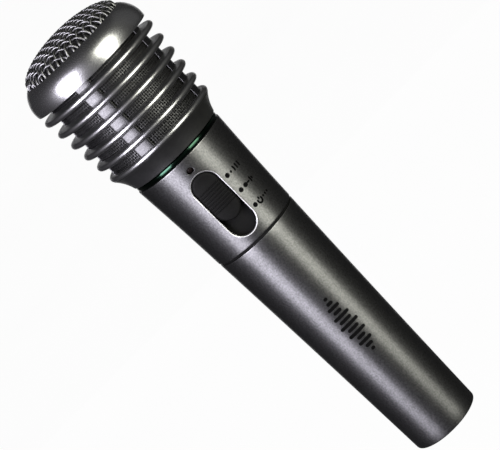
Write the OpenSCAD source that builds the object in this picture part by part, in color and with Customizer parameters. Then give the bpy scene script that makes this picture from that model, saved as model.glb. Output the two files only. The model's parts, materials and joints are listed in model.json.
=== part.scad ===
// Hand-held dynamic microphone with a ringed grille head, a slide switch and a screw-off
// battery sleeve. Millimetres. It stands on its tail: the origin is the centre of the tail
// face, +Z runs up to the dome and the switch faces -Y.

/* [Battery sleeve] */
// Radius at the tail
tail_r = 15.72; // [15.6:0.02:15.9]
// Radius at the joint line
sleeve_top_r = 19.63; // [19.5:0.01:19.9]
// Length from the tail to the joint line
sleeve_h = 112.3; // [112:0.1:112.6]
// Wall thickness
sleeve_wall = 1.7; // [1.5:0.1:1.8]
// Height of the dark spacer ring in the joint line
joint_h = 1; // [0.8:0.1:1.2]

/* [Switch housing] */
// Radius at the joint line
housing_low_r = 19.75; // [19.6:0.01:20]
// Radius under the accent ring
housing_top_r = 21.95; // [21.7:0.01:22.2]
// Height of its top edge above the tail
housing_top = 156.6; // [156.2:0.1:157]
// Wall thickness
housing_wall = 2; // [1.8:0.1:2.1]
// Radius of the accent ring
accent_r = 21.65; // [21.4:0.05:21.8]
// Height of the accent ring
accent_h = 2.3; // [2:0.1:2.4]

/* [Switch] */
// Width of the slot in the housing
slot_w = 12.1; // [11.8:0.1:12.4]
// Length of the slot
slot_len = 31.4; // [31.2:0.1:32]
// Width of the knob
knob_w = 11.4; // [10:0.1:11.6]
// Length of the knob
knob_len = 22.6; // [20:0.1:22.6]
// Height of the knob's centre when it is switched on
knob_z = 136.9; // [136.8:0.1:137]
// Travel of the knob from on to off
knob_travel = 8.4; // [8:0.1:8.4]
// Grooves between the knob's finger ribs
rib_grooves = 8; // [5:1:9]

/* [Grille head] */
// Height of the whole microphone
total_h = 224.4; // [224:0.1:225]
// Height of the collar's flange
flange_z = 167.7; // [167.5:0.1:167.8]
// Radius of the collar's flange
flange_r = 26.5; // [26.2:0.1:26.8]
// Rings above the flange
ring_count = 5; // [5:1:5]
// Distance between rings
ring_pitch = 6.66; // [6.6:0.01:6.7]
// How much each ring is larger than the one below
ring_growth = 0.55; // [0.4:0.01:0.58]
// Thickness of a ring
ring_t = 2.5; // [2.2:0.1:2.6]
// Posts that join the rings
post_count = 4; // [3:1:6]
// Width of a post
post_w = 7.7; // [6:0.1:9]
// Angle from the switch to the first post
post_az = -15; // [-20:1:-10]
// Height of the dome band's lower edge
band_z = 204.9; // [204.7:0.1:205]
// Radius of the dome
dome_r = 24.1; // [23.9:0.02:24.1]
// Rise of the dome
dome_rise = 8.8; // [8.4:0.1:9]

/* [Capsule] */
// Radius of the capsule's case
capsule_r = 15; // [14.5:0.1:15.5]
// Height of the capsule's case
capsule_h = 21; // [20.5:0.1:21.5]
// Height of the case's floor above the tail
capsule_z = 184; // [182:0.5:188]

/* [Power and jack] */
// Radius of a battery cell
cell_r = 7.15; // [7:0.05:7.2]
// Length of a battery cell
cell_h = 50.5; // [50:0.1:50.5]
// Bore radius of the 3.5 mm jack
jack_bore_r = 1.8; // [1.78:0.01:1.85]

/* [Hidden] */
$fn = 96;
EPS = 0.02;
CUT = 1;

// Outer curves: each shell's radius grows from low_r to top_r and sags inward by its bow.
CURVE_STEPS = 10;
SLEEVE_BOW = 0.15;
HOUSING_BOW = 0.155;
tail_round = 0.6;
housing_low = sleeve_h + joint_h;
accent_top = housing_top + accent_h;

// Screw joints: crests pass each other with a running clearance.
fit_gap = 0.08;
ring_fit_gap = 0.06;
ring_face_gap = 0.05;
thread_pitch = 2.2;
thread_depth = 0.4;
low_spigot_r = 17.8;
low_spigot_in = 15.6;
low_spigot_z = 101;
low_threads = 5;
top_spigot_r = 19;
top_spigot_in = 16.5;
top_spigot_top = 165.5;
top_threads = 3;
joint_ring_r = 19.15;

// Tail: the cap drops in from above and carries the jack's hole.
tail_hole_r = 12.5;
tail_floor = 2.4;
tail_flange_r = 13.9;
tail_flange_h = 1.6;
tail_recess = 0.3;
jack_hole_r = 3.3;

// Chassis
flange_h = 2;
chassis_r = 17.2;
chassis_in = 15.4;
spine_y = -4;
bulkhead_z = 154;
bulkhead_hole_r = 8;
key_w = 3;
key_in = 17.5;
board_y = -8;
board_t = 1.6;
board_w = 23;
board_low = 117;
board_top = 150.5;
ledge_in = 8.5;
ledge_out = 15.2;
board_screw_x = 10;
board_screw_z = [121, 147];
window_front = [-6.5, -7, 13, 5];
window_back = [3.5, 3.5, 6.5, 6.5];

// Battery tray
tray_low = 40;
tray_plate = 2;
tray_top = 98.4;
tray_low_r = 14.6;
tray_top_r = 15;
tray_wall_y = 7.4;
tray_wall_t = 1.8;
tray_wall_w = 24;
tray_rib_w = 2.4;
tray_rib_y = 4.2;
tray_pillar_y = 11;
tray_pillar_r = 2.4;
tray_spine_w = 6;
tray_spine_y = 4.7;
tray_spine_low = 6;
wire_notch = [2, 9.3, 9, 6];
cell_x = 7.3;
cell_nub_r = 2.7;
cell_nub_h = 1.4;
contact_t = 0.3;
spring_wire_r = 0.5;
spring_low_r = 5;
spring_top_r = 3.5;
spring_turns = 6;

// Jack
jack_half = 3.3;
jack_low = 4.6;
jack_top = 17;
jack_cavity_r = 2.1;
jack_cavity_top = 16;
jack_barrel_r = 2.9;
jack_barrel_top = 6.3;
jack_barrel_low = 0.3;
jack_board_t = 1.4;
jack_board_w = 12;
jack_board_z = [5, 22];
jack_blade = [0.3, 3, 7];
jack_blade_z = [7.5, 9.5];
jack_bump = [1.1, 1.6, 2];

// Screws
screw_r = 0.9;
screw_head_r = 1.9;
screw_head_h = 1.1;
screw_hole_r = 1;
small_screw_r = 0.75;
small_head_r = 1.5;
small_head_h = 0.8;
small_hole_r = 0.8;

// Switch
plate_y = -16.4;
plate_t = 1;
plate_w = 13;
plate_z = [115.5, 149.5];
leg_w = 1.6;
leg_x = 5;
leg_z = [119, 146];
knob_back_y = -16.5;
knob_crown_r = 21.3;
groove_pitch = 1.34;
groove_w = 0.5;
groove_depth = 0.5;
groove_z = knob_z - 0.3;
stem = [2, 3];
stem_gap = 0.1;
stem_tip_y = -18;
lever_block = [5, 2.2, 5];
lever_block_y = -10.3;
switch_case_y = -13.6;
switch_case_w = 8.4;
switch_case_wall = 0.5;
led_z = 152;
led_r = 1.45;
led_hole_r = 1.5;
led_back_y = -14;
led_face_y = -20.4;
led_leg_r = 0.3;

// Grille head
cage_in = 23.6;
post_in = 23.65;
post_out = 24.6;
post_root = 0.5;
cage_lip_r = 25;
cage_top = 207;
cage_foot_z = 167.8;
cage_foot_r = 25.1;
mesh_out = 23.5;
mesh_in = 23;
collar_top = flange_z + ring_t / 2;
collar_bore = 19.5;
collar_low = accent_top + ring_face_gap;
collar_recess = [22.9, 25.15];
collar_arc_r = 18;
collar_arc_centre = [39.5, 154.6];
collar_arc_end = 166.6;
band_arc_r = 11.25;
band_arc_centre = [17.88, 206.85];
band_arc_top_r = 24.35;
band_in = 24.15;
band_step_r = 25.05;
retainer_in = 22.9;
retainer_h = 2;
dome_wall = 0.9;
dome_base_z = total_h - dome_rise;
dome_flange_z = cage_top + retainer_h;
dome_flange_h = 1;
foam_out = 22.7;
foam_in = 19.6;
foam_low = 169.2;
foam_base_z = dome_base_z - 1;
foam_rise = 8;

// Capsule
case_wall = 0.8;
case_floor = 1;
case_hole_r = 6;
terminal_r = 10;
terminal_t = 1.2;
tab = [0.5, 1.5, 4];
tab_x = 3;
yoke_r = 9.5;
yoke_in = 8;
yoke_z = 188;
yoke_floor = 2.5;
yoke_h = 9;
magnet_r = 6.2;
magnet_h = 4.5;
pole_r = 6.4;
pole_h = 2;
frame_z = 194;
frame_h = 4.2;
coil_r = [6.9, 7.3];
coil_h = 5.5;
diaphragm_z = 199;
diaphragm_r = 13.4;
diaphragm_t = 0.2;
diaphragm_dome_r = 7.1;
diaphragm_dome_h = 2.4;
cover_t = 1.2;
cover_hole_r = 1;
cover_rings = [[0, 1], [4.5, 6], [9, 12]];
cloth_t = 0.5;
cloth_r = 13.8;
mount_out = 17.2;
mount_h = 17;
mount_floor = 2;
mount_hole_r = 11;
holder_flange_r = 18.6;
holder_flange_h = 2;
holder_skirt_h = 4.5;
holder_skirt = [14.5, 16.45];
holder_cup = [12, 15.5];
holder_hole_r = 5;

lead_r = 0.45;
bend_swell = 0.1;

// ---- Curves ----

function bowed_r(u, low_r, top_r, bow) = low_r + (top_r - low_r) * u - 4 * bow * u * (1 - u);

function sleeve_r(z) = bowed_r(z / sleeve_h, tail_r, sleeve_top_r, SLEEVE_BOW);

function housing_r(z) = bowed_r(
    (z - housing_low) / (housing_top - housing_low), housing_low_r, housing_top_r, HOUSING_BOW
);

function steps(a, b) = [for (i = [0 : CURVE_STEPS]) a + (b - a) * i / CURVE_STEPS];

function reversed(v) = [for (i = [len(v) - 1 : -1 : 0]) v[i]];

function dome_curve(r, rise, z) = [for (a = steps(0, 90)) [r * cos(a), z + rise * sin(a)]];

// ---- Shapes that repeat ----

module tube(outer, inner, z, h) {
    translate([0, 0, z]) difference() {
        cylinder(r = outer, h = h);
        translate([0, 0, -CUT]) cylinder(r = inner, h = h + 2 * CUT);
    }
}

module disc(r, z, h) {
    translate([0, 0, z]) cylinder(r = r, h = h);
}

module box(x, y, z) {
    translate([x[0], y[0], z[0]]) cube([x[1] - x[0], y[1] - y[0], z[1] - z[0]]);
}

module at_az(a) {
    rotate([0, 0, a]) children();
}

// Raises a 2D outline drawn in X and Z from y = 0 towards the switch side.
module facing(y0, y1) {
    translate([0, y0, 0]) rotate([90, 0, 0]) linear_extrude(y0 - y1) children();
}

module stadium(w, len) {
    square([w, len - w], center = true);
    for (s = [-1, 1]) translate([0, s * (len - w) / 2]) circle(d = w);
}

// Thread ridges: rings of triangular section whose crest is at crest_r.
module ridges(root_r, crest_r, z, count) {
    half = thread_pitch / 4;
    for (i = [0 : count - 1]) translate([0, 0, z + i * thread_pitch]) rotate_extrude()
        polygon([[root_r, -half], [crest_r, 0], [root_r, half]]);
}

module rod(a, b, r) {
    d = b - a;
    translate(a)
        rotate([0, acos(d[2] / norm(d)), atan2(d[1], d[0])])
            cylinder(r = r, h = norm(d), $fn = 24);
}

module wire(points, r) {
    for (i = [0 : len(points) - 2]) rod(points[i], points[i + 1], r);
    for (i = [1 : 1 : len(points) - 2]) translate(points[i]) sphere(r = r + bend_swell, $fn = 24);
}

module screw(r, head_r, head_h, len) {
    cylinder(r = head_r, h = head_h, $fn = 32);
    translate([0, 0, -len]) cylinder(r = r, h = len + CUT / 2, $fn = 32);
}

// ---- Head ----

module dome_mesh() {
    inner_r = dome_r - dome_wall;
    color("silver") rotate_extrude() polygon(concat(
        [[inner_r, dome_flange_z], [cage_lip_r, dome_flange_z]],
        [[cage_lip_r, dome_flange_z + dome_flange_h], [dome_r, dome_flange_z + dome_flange_h]],
        dome_curve(dome_r, dome_rise, dome_base_z),
        reversed(dome_curve(inner_r, dome_rise - dome_wall, dome_base_z))
    ));
}

module dome_band() {
    c = band_arc_centre;
    low = asin((band_z - c[1]) / band_arc_r);
    high = acos((band_arc_top_r - c[0]) / band_arc_r);
    arc = [for (a = steps(low, high)) [c[0] + band_arc_r * cos(a), c[1] + band_arc_r * sin(a)]];
    lip_z = arc[len(arc) - 1][1] - fit_gap;
    step_z = dome_flange_z + dome_flange_h;
    color("dimgray") rotate_extrude() polygon(concat(
        arc,
        [[band_in, lip_z], [band_in, step_z], [band_step_r, step_z], [band_step_r, band_z]]
    ));
}

module mesh_retainer() {
    color("black") tube(cage_lip_r, retainer_in, cage_top, retainer_h);
}

module grille_ring(i) {
    tip = flange_r + ring_growth * i - ring_t / 2;
    rotate_extrude() translate([0, flange_z + ring_pitch * i]) polygon(concat(
        [[cage_in, -ring_t / 2]],
        [for (a = steps(-90, 90)) [tip + ring_t / 2 * cos(a), ring_t / 2 * sin(a)]],
        [[cage_in, ring_t / 2]]
    ));
}

module grille_post() {
    intersection() {
        tube(post_out, post_in, collar_top - post_root, band_z - collar_top + 2 * post_root);
        translate([-post_w / 2, -flange_r, 0]) cube([post_w, flange_r, total_h]);
    }
}

module grille_cage() {
    color("dimgray") {
        for (i = [1 : ring_count]) grille_ring(i);
        for (k = [0 : post_count - 1]) at_az(post_az + k * 360 / post_count) grille_post();
        tube(cage_lip_r, cage_in, band_z, cage_top - band_z);
        tube(cage_foot_r, cage_in, cage_foot_z, collar_top - cage_foot_z);
    }
}

module side_mesh() {
    color("silver") tube(mesh_out, mesh_in, cage_foot_z, cage_top - cage_foot_z);
}

module foam_liner() {
    wall = foam_out - foam_in;
    color([0.1, 0.1, 0.1]) rotate_extrude() polygon(concat(
        [[foam_in, foam_low], [foam_out, foam_low]],
        dome_curve(foam_out, foam_rise, foam_base_z),
        reversed(dome_curve(foam_in, foam_rise - wall, foam_base_z))
    ));
}

module neck_collar() {
    c = collar_arc_centre;
    flare = [for (z = steps(collar_low, collar_arc_end))
        [c[0] - sqrt(pow(collar_arc_r, 2) - pow(z - c[1], 2)), z]];
    tip = flange_r - ring_t / 2;
    color("dimgray") {
        rotate_extrude() {
            polygon(concat(
                [[collar_bore, collar_low]],
                flare,
                [[tip, flange_z], [tip, collar_top], [collar_recess[1], collar_top]],
                [[collar_recess[1], cage_foot_z], [collar_recess[0], cage_foot_z]],
                [[collar_recess[0], collar_top], [collar_bore, collar_top]]
            ));
            difference() {
                translate([tip, flange_z]) circle(d = ring_t, $fn = 32);
                translate([tip - ring_t, flange_z - ring_t]) square([ring_t, 2 * ring_t]);
            }
        }
        ridges(
            collar_bore + EPS, top_spigot_r + fit_gap,
            collar_low + thread_pitch, top_threads
        );
    }
}

module accent_ring() {
    inner = top_spigot_r + ring_fit_gap;
    crown = 0.25;
    color([0.05, 0.35, 0.15]) rotate_extrude() polygon([
        [inner, housing_top + ring_face_gap],
        [accent_r - crown, housing_top + ring_face_gap],
        [accent_r, housing_top + accent_h / 2],
        [accent_r - crown, accent_top],
        [inner, accent_top]
    ]);
}

// ---- Handle ----

module upper_housing() {
    outer = [for (z = steps(housing_low, housing_top)) [housing_r(z), z]];
    inner = [for (z = steps(housing_low, housing_top)) [housing_r(z) - housing_wall, z]];
    slot_z = knob_z + knob_len / 2 - slot_len / 2 + (slot_len - knob_len - knob_travel) / 2;
    color([0.42, 0.42, 0.44]) {
        difference() {
            rotate_extrude() polygon(concat(outer, reversed(inner)));
            translate([0, 0, slot_z]) facing(0, -2 * housing_top_r) stadium(slot_w, slot_len);
            translate([0, 0, led_z]) facing(0, -2 * housing_top_r) circle(r = led_hole_r);
        }
        box(
            [-key_w / 2, key_w / 2],
            [key_in, housing_r(bulkhead_z) - housing_wall / 2],
            [bulkhead_z + fit_gap, housing_top - fit_gap]
        );
    }
}

module chassis_ledge(side) {
    x = [min(side * ledge_in, side * ledge_out), max(side * ledge_in, side * ledge_out)];
    difference() {
        box(x, [board_y, spine_y + EPS], [housing_low + flange_h - EPS, bulkhead_z + EPS]);
        for (z = board_screw_z) translate([side * board_screw_x, spine_y + CUT, z])
            rotate([90, 0, 0]) cylinder(r = small_hole_r, h = CUT + spine_y - board_y + CUT, $fn = 32);
    }
}

module chassis_flange() {
    difference() {
        disc(housing_r(housing_low) - housing_wall - ring_face_gap, housing_low, flange_h);
        for (w = [window_front, window_back])
            translate([w[0], w[1], housing_low - CUT]) cube([w[2], w[3], flange_h + 2 * CUT]);
        for (s = [-1, 1]) translate([0, s * tray_pillar_y, housing_low - CUT])
            cylinder(r = screw_hole_r, h = flange_h + 2 * CUT, $fn = 32);
    }
}

module chassis_spine() {
    z = housing_low + flange_h - EPS;
    difference() {
        tube(chassis_r, chassis_in, z, bulkhead_z - z + EPS);
        translate([-2 * chassis_r, spine_y - 2 * chassis_r, 0])
            cube([4 * chassis_r, 2 * chassis_r, total_h]);
    }
}

module chassis_bulkhead() {
    difference() {
        tube(
            housing_r(bulkhead_z) - housing_wall - fit_gap, bulkhead_hole_r,
            bulkhead_z, housing_top - bulkhead_z
        );
        box(
            [-key_w / 2 - fit_gap, key_w / 2 + fit_gap],
            [key_in - fit_gap, housing_top_r],
            [bulkhead_z - CUT, housing_top + CUT]
        );
    }
}

module chassis() {
    low_root = low_spigot_r - thread_depth;
    top_root = top_spigot_r - thread_depth;
    low_neck = sleeve_h - thread_pitch / 2;
    top_neck = accent_top + thread_pitch / 4;
    color([0.13, 0.13, 0.14]) {
        tube(low_root, low_spigot_in, low_spigot_z, low_neck - low_spigot_z + EPS);
        tube(low_spigot_r, low_spigot_in, low_neck, housing_low - low_neck);
        ridges(low_root - EPS, low_spigot_r, low_spigot_z + thread_pitch / 4, low_threads);
        chassis_flange();
        chassis_spine();
        for (side = [-1, 1]) chassis_ledge(side);
        chassis_bulkhead();
        tube(top_spigot_r, top_spigot_in, housing_top - EPS, top_neck - housing_top + EPS);
        tube(top_root, top_spigot_in, top_neck - EPS, top_spigot_top - top_neck + EPS);
        ridges(top_root - EPS, top_spigot_r, top_neck + thread_pitch / 2, top_threads);
    }
}

// ---- Capsule ----

module capsule_holder() {
    cup_top = capsule_z - mount_floor;
    cup_low = top_spigot_top + holder_flange_h;
    color([0.15, 0.15, 0.16]) {
        tube(
            holder_skirt[1], holder_skirt[0],
            top_spigot_top - holder_skirt_h, holder_skirt_h + EPS
        );
        tube(holder_flange_r, holder_hole_r, top_spigot_top, holder_flange_h);
        tube(holder_cup[1], holder_cup[0], cup_low - EPS, cup_top - cup_low + EPS);
    }
}

module shock_mount() {
    low = capsule_z - mount_floor;
    color([0.08, 0.08, 0.08]) difference() {
        disc(mount_out, low, mount_h);
        disc(mount_hole_r, low - CUT, mount_h + 2 * CUT);
        disc(capsule_r, capsule_z, mount_h);
    }
}

module capsule_case() {
    color("goldenrod") difference() {
        disc(capsule_r, capsule_z, capsule_h);
        disc(capsule_r - case_wall, capsule_z + case_floor, capsule_h);
        disc(case_hole_r, capsule_z - CUT, case_floor + 2 * CUT);
    }
}

module capsule_frame() {
    vents = 8;
    vent_r = 1.2;
    color([0.2, 0.2, 0.2]) difference() {
        tube(capsule_r - case_wall, yoke_r, frame_z, frame_h);
        for (k = [0 : vents - 1]) at_az(k * 360 / vents)
            translate([(capsule_r - case_wall + yoke_r) / 2, 0, frame_z - CUT])
                cylinder(r = vent_r, h = frame_h + 2 * CUT, $fn = 24);
    }
}

module capsule_yoke() {
    color("gray") difference() {
        disc(yoke_r, yoke_z, yoke_h);
        disc(yoke_in, yoke_z + yoke_floor, yoke_h);
    }
}

module capsule_magnet() {
    color("silver") disc(magnet_r, yoke_z + yoke_floor, magnet_h);
}

module pole_plate() {
    color("gray") disc(pole_r, yoke_z + yoke_floor + magnet_h, pole_h);
}

module capsule_cover() {
    z = capsule_z + capsule_h - cover_t;
    color("goldenrod") difference() {
        disc(capsule_r - case_wall, z, cover_t);
        for (ring = cover_rings, k = [0 : ring[1] - 1]) at_az(k * 360 / ring[1])
            translate([ring[0], 0, z - CUT])
                cylinder(r = cover_hole_r, h = cover_t + 2 * CUT, $fn = 24);
    }
}

module acoustic_cloth() {
    color([0.2, 0.2, 0.2]) disc(cloth_r, capsule_z + capsule_h, cloth_t);
}

module capsule_terminals() {
    z = capsule_z + case_floor;
    color([0.55, 0.35, 0.15]) {
        disc(terminal_r, z, terminal_t);
        for (s = [-1, 1]) box(
            [s * tab_x - tab[0] / 2, s * tab_x + tab[0] / 2],
            [-tab[1] / 2, tab[1] / 2],
            [z - tab[2], z + EPS]
        );
    }
}

module diaphragm() {
    t = diaphragm_t;
    z = diaphragm_z;
    dome = [for (a = steps(0, 90)) [diaphragm_dome_r * sin(a), z + diaphragm_dome_h * cos(a)]];
    under = [for (p = reversed(dome)) [max(p[0] - t, 0), max(p[1] - t, z)]];
    color("wheat") {
        rotate_extrude() polygon(concat(
            [for (p = dome) [p[0], p[1] + t]],
            [[diaphragm_dome_r, z], [diaphragm_dome_r - t, z]],
            [for (i = [1 : len(under) - 1]) under[i]]
        ));
        tube(diaphragm_r, diaphragm_dome_r - EPS, z, t);
    }
}

module voice_coil() {
    color("orange") tube(coil_r[1], coil_r[0], diaphragm_z - coil_h, coil_h);
}

module capsule_leads() {
    tab_low = capsule_z + case_floor - tab[2];
    color("firebrick") for (s = [-1, 1]) wire([
        [s * tab_x, 0, tab_low],
        [s * tab_x, 0, 160],
        [s * tab_x, -7.3, 147]
    ], lead_r);
}

// ---- Circuit ----

module circuit_board() {
    color("darkgreen") difference() {
        box([-board_w / 2, board_w / 2], [board_y - board_t, board_y], [board_low, board_top]);
        for (s = [-1, 1], z = board_screw_z) translate([s * board_screw_x, board_y + CUT, z])
            rotate([90, 0, 0]) cylinder(r = small_hole_r, h = board_t + 2 * CUT, $fn = 32);
    }
}

module board_screws() {
    len = 4;
    color("silver") for (s = [-1, 1], z = board_screw_z)
        translate([s * board_screw_x, board_y - board_t, z])
            rotate([90, 0, 0]) screw(small_screw_r, small_head_r, small_head_h, len);
}

// Puts a part on the back of the board, its foot on the copper side.
module on_board(x, z) {
    translate([x, board_y, z]) rotate([-90, 0, 0]) children();
}

module audio_chips() {
    chip = [6, 10, 1.5];
    lead_w = 0.5;
    lead_count = 7;
    lead_step = 1.27;
    color([0.1, 0.1, 0.1]) for (z = [126, 140]) on_board(-5, z) {
        translate([-chip[0] / 2, -chip[1] / 2, 0]) cube(chip);
        for (i = [0 : lead_count - 1]) translate([
            -chip[0] / 2 - lead_w, (i - (lead_count - 1) / 2) * lead_step - lead_w / 2, 0
        ]) cube([chip[0] + 2 * lead_w, lead_w, lead_w]);
    }
}

module capacitors() {
    spots = [[5.5, 127, 2.5, 7], [5.5, 133, 2, 5], [0.8, 144, 2, 5]];
    color([0.1, 0.12, 0.3]) for (s = spots) on_board(s[0], s[1]) cylinder(r = s[2], h = s[3]);
}

module resistors() {
    size = [1.2, 2, 0.6];
    color([0.1, 0.1, 0.1]) for (x = [-0.2, 1.7], z = [120, 124, 128, 132])
        on_board(x, z) translate([-size[0] / 2, -size[1] / 2, 0]) cube(size);
}

module tuning_coil() {
    side = 5;
    height = 6.5;
    slug_r = 1.4;
    color("silver") on_board(5.8, 139.5) difference() {
        translate([-side / 2, -side / 2, 0]) cube([side, side, height]);
        translate([0, 0, height - 1]) cylinder(r = slug_r, h = 2, $fn = 32);
    }
}

module crystal() {
    color("silver") on_board(-4.6, 133) linear_extrude(3.4) rotate(90) stadium(3.4, 7);
}

module indicator_led() {
    color([0.12, 0.05, 0.05]) {
        translate([0, 0, led_z]) facing(led_back_y, led_face_y) circle(r = led_r, $fn = 48);
        translate([0, led_face_y, led_z]) sphere(r = led_r - ring_face_gap, $fn = 48);
        for (s = [-1, 1]) wire([
            [s * 0.7, led_back_y - CUT / 2, led_z],
            [s * 0.7, -12, led_z],
            [s * 0.7, -12, 149.6],
            [s * 0.7, board_y - board_t - EPS, 149.6]
        ], led_leg_r);
    }
}

// ---- Switch ----

module stem_opening(y0, y1) {
    low = knob_z - knob_travel - stem[1] / 2 - stem_gap;
    high = knob_z + stem[1] / 2 + stem_gap;
    box([-stem[0] / 2 - stem_gap, stem[0] / 2 + stem_gap], [y1, y0], [low, high]);
}

module switch_plate() {
    face = plate_y + plate_t;
    color([0.06, 0.06, 0.06]) {
        difference() {
            box([-plate_w / 2, plate_w / 2], [plate_y, face], plate_z);
            stem_opening(face + CUT, plate_y - CUT);
        }
        for (s = [-1, 1], z = leg_z) box(
            [s * leg_x - leg_w / 2, s * leg_x + leg_w / 2],
            [face - EPS, board_y - board_t],
            [z - leg_w / 2, z + leg_w / 2]
        );
    }
}

module switch_case() {
    wall = switch_case_wall;
    gap = 0.3;
    half = lever_block[2] / 2 + gap;
    low = knob_z - knob_travel - half;
    high = knob_z + half;
    color("silver") difference() {
        box(
            [-switch_case_w / 2, switch_case_w / 2],
            [switch_case_y, board_y - board_t],
            [low - wall, high + wall]
        );
        box(
            [-switch_case_w / 2 + wall, switch_case_w / 2 - wall],
            [switch_case_y + wall, board_y - board_t - wall],
            [low, high]
        );
        stem_opening(switch_case_y + 2 * wall, switch_case_y - CUT);
    }
}

module switch_lever() {
    color([0.1, 0.1, 0.1]) {
        box(
            [-lever_block[0] / 2, lever_block[0] / 2],
            [lever_block_y - lever_block[1], lever_block_y],
            [knob_z - lever_block[2] / 2, knob_z + lever_block[2] / 2]
        );
        box(
            [-stem[0] / 2, stem[0] / 2],
            [stem_tip_y, lever_block_y - CUT],
            [knob_z - stem[1] / 2, knob_z + stem[1] / 2]
        );
    }
}

module switch_knob() {
    first = groove_z - (rib_grooves - 1) / 2 * groove_pitch;
    color([0.07, 0.07, 0.07]) difference() {
        intersection() {
            translate([0, 0, knob_z]) facing(knob_back_y, -2 * knob_crown_r)
                stadium(knob_w, knob_len);
            cylinder(r = knob_crown_r, h = total_h);
        }
        for (i = [0 : rib_grooves - 1]) box(
            [-knob_w, knob_w],
            [-2 * knob_crown_r, -knob_crown_r + groove_depth],
            [first + i * groove_pitch - groove_w / 2, first + i * groove_pitch + groove_w / 2]
        );
        box(
            [-stem[0] / 2 - EPS, stem[0] / 2 + EPS],
            [stem_tip_y - EPS, knob_back_y + CUT],
            [knob_z - stem[1] / 2 - EPS, knob_z + stem[1] / 2 + EPS]
        );
    }
}

// ---- Battery tray ----

module tray_plate_at(z, r) {
    difference() {
        disc(r, z, tray_plate);
        translate([wire_notch[0], wire_notch[1], z - CUT])
            cube([wire_notch[2], wire_notch[3], tray_plate + 2 * CUT]);
    }
}

module battery_tray() {
    pillar_low = tray_top + tray_plate - EPS;
    wall_y = [tray_wall_y, tray_wall_y + tray_wall_t];
    color([0.16, 0.16, 0.17]) {
        tray_plate_at(tray_low, tray_low_r);
        tray_plate_at(tray_top, tray_top_r);
        box([-tray_wall_w / 2, tray_wall_w / 2], wall_y, [tray_low + EPS, tray_top + EPS]);
        box(
            [-tray_rib_w / 2, tray_rib_w / 2],
            [tray_rib_y, tray_wall_y + EPS],
            [tray_low + EPS, tray_top + EPS]
        );
        box(
            [-tray_spine_w / 2, tray_spine_w / 2],
            [tray_spine_y, tray_spine_y + tray_wall_t],
            [tray_spine_low, tray_low + EPS]
        );
        for (s = [-1, 1]) translate([0, s * tray_pillar_y, 0])
            tube(tray_pillar_r, screw_r + ring_face_gap, pillar_low, housing_low - pillar_low);
    }
}

module tray_screws() {
    len = 10;
    color("silver") for (s = [-1, 1]) translate([0, s * tray_pillar_y, housing_low + flange_h])
        screw(screw_r, screw_head_r, screw_head_h, len);
}

// A cell with its nub at +Z, standing on its flat end.
module battery_cell() {
    cylinder(r = cell_r, h = cell_h - cell_nub_h);
    cylinder(r = cell_nub_r, h = cell_h, $fn = 48);
}

module battery_cell_right() {
    tip = tray_top - contact_t;
    color([0.75, 0.45, 0.2]) translate([cell_x, 0, tip - cell_h]) battery_cell();
}

module battery_cell_left() {
    tip = tray_low + tray_plate + contact_t;
    color([0.75, 0.45, 0.2]) translate([-cell_x, 0, tip + cell_h])
        rotate([180, 0, 0]) battery_cell();
}

module battery_spring() {
    height = tray_top - tray_low - tray_plate - 2 * contact_t - cell_h;
    rise = (height - 2 * spring_wire_r) / (spring_turns - 1);
    rotate_extrude() for (i = [0 : spring_turns - 1]) translate([
        spring_low_r + (spring_top_r - spring_low_r) * i / (spring_turns - 1),
        spring_wire_r + i * rise
    ]) circle(r = spring_wire_r, $fn = 24);
}

module battery_springs() {
    color("silver") {
        translate([cell_x, 0, tray_low + tray_plate + contact_t]) battery_spring();
        translate([-cell_x, 0, tray_top - contact_t]) rotate([180, 0, 0]) battery_spring();
    }
}

module battery_contacts() {
    half = 5;
    color("silver") for (s = [-1, 1], z = [tray_low + tray_plate, tray_top - contact_t])
        box([s * cell_x - half, s * cell_x + half], [-half, half], [z, z + contact_t]);
}

module power_leads() {
    top = tray_top + tray_plate;
    color("crimson") for (s = [-1, 1]) wire([
        [s * 5, 0, top],
        [s * 5, 0, top + 3],
        [s * 5, -4.5, 110],
        [s * 5, -4.5, 116],
        [s * 5, -7.3, 119]
    ], lead_r);
}

// ---- Jack ----

module jack_bump_at(side, z, grow) {
    x = side * (jack_half - jack_bump[0] / 2);
    box(
        [x - jack_bump[0] / 2 - grow, x + jack_bump[0] / 2 + grow],
        [-jack_bump[1] / 2 - grow, jack_bump[1] / 2 + grow],
        [z - grow, z + jack_bump[2] + grow]
    );
}

module jack_board() {
    y = [jack_half, jack_half + jack_board_t];
    color("darkgreen") box([-jack_board_w / 2, jack_board_w / 2], y, jack_board_z);
}

module jack_body() {
    color([0.1, 0.1, 0.1]) difference() {
        box([-jack_half, jack_half], [-jack_half, jack_half], [jack_low, jack_top]);
        disc(jack_cavity_r, jack_low - CUT, jack_cavity_top - jack_low + CUT);
        disc(jack_barrel_r + EPS, jack_low - CUT, jack_barrel_top - jack_low + CUT);
        for (i = [0, 1]) jack_bump_at(2 * i - 1, jack_blade_z[i] + jack_bump[2], EPS);
    }
}

module jack_barrel() {
    color("silver")
        tube(jack_barrel_r, jack_bore_r, jack_barrel_low, jack_barrel_top - jack_barrel_low);
}

module jack_contacts() {
    color("gold") for (i = [0, 1]) {
        side = 2 * i - 1;
        x = side * (jack_half + jack_blade[0] / 2);
        z = jack_blade_z[i];
        box(
            [x - jack_blade[0] / 2, x + jack_blade[0] / 2],
            [-jack_blade[1] / 2, jack_half],
            [z, z + jack_blade[2]]
        );
        jack_bump_at(side, z + jack_bump[2], 0);
    }
}

module jack_leads() {
    y = jack_half + jack_board_t + lead_r;
    color("gray") for (x = [4, 5.2]) wire([
        [x, y, 20],
        [x, y, 24],
        [x, 10.2, 36],
        [x, 10.2, 104],
        [x, 7, 112],
        [x, 7, 117],
        [x, -7.3, 121]
    ], lead_r);
}

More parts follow.
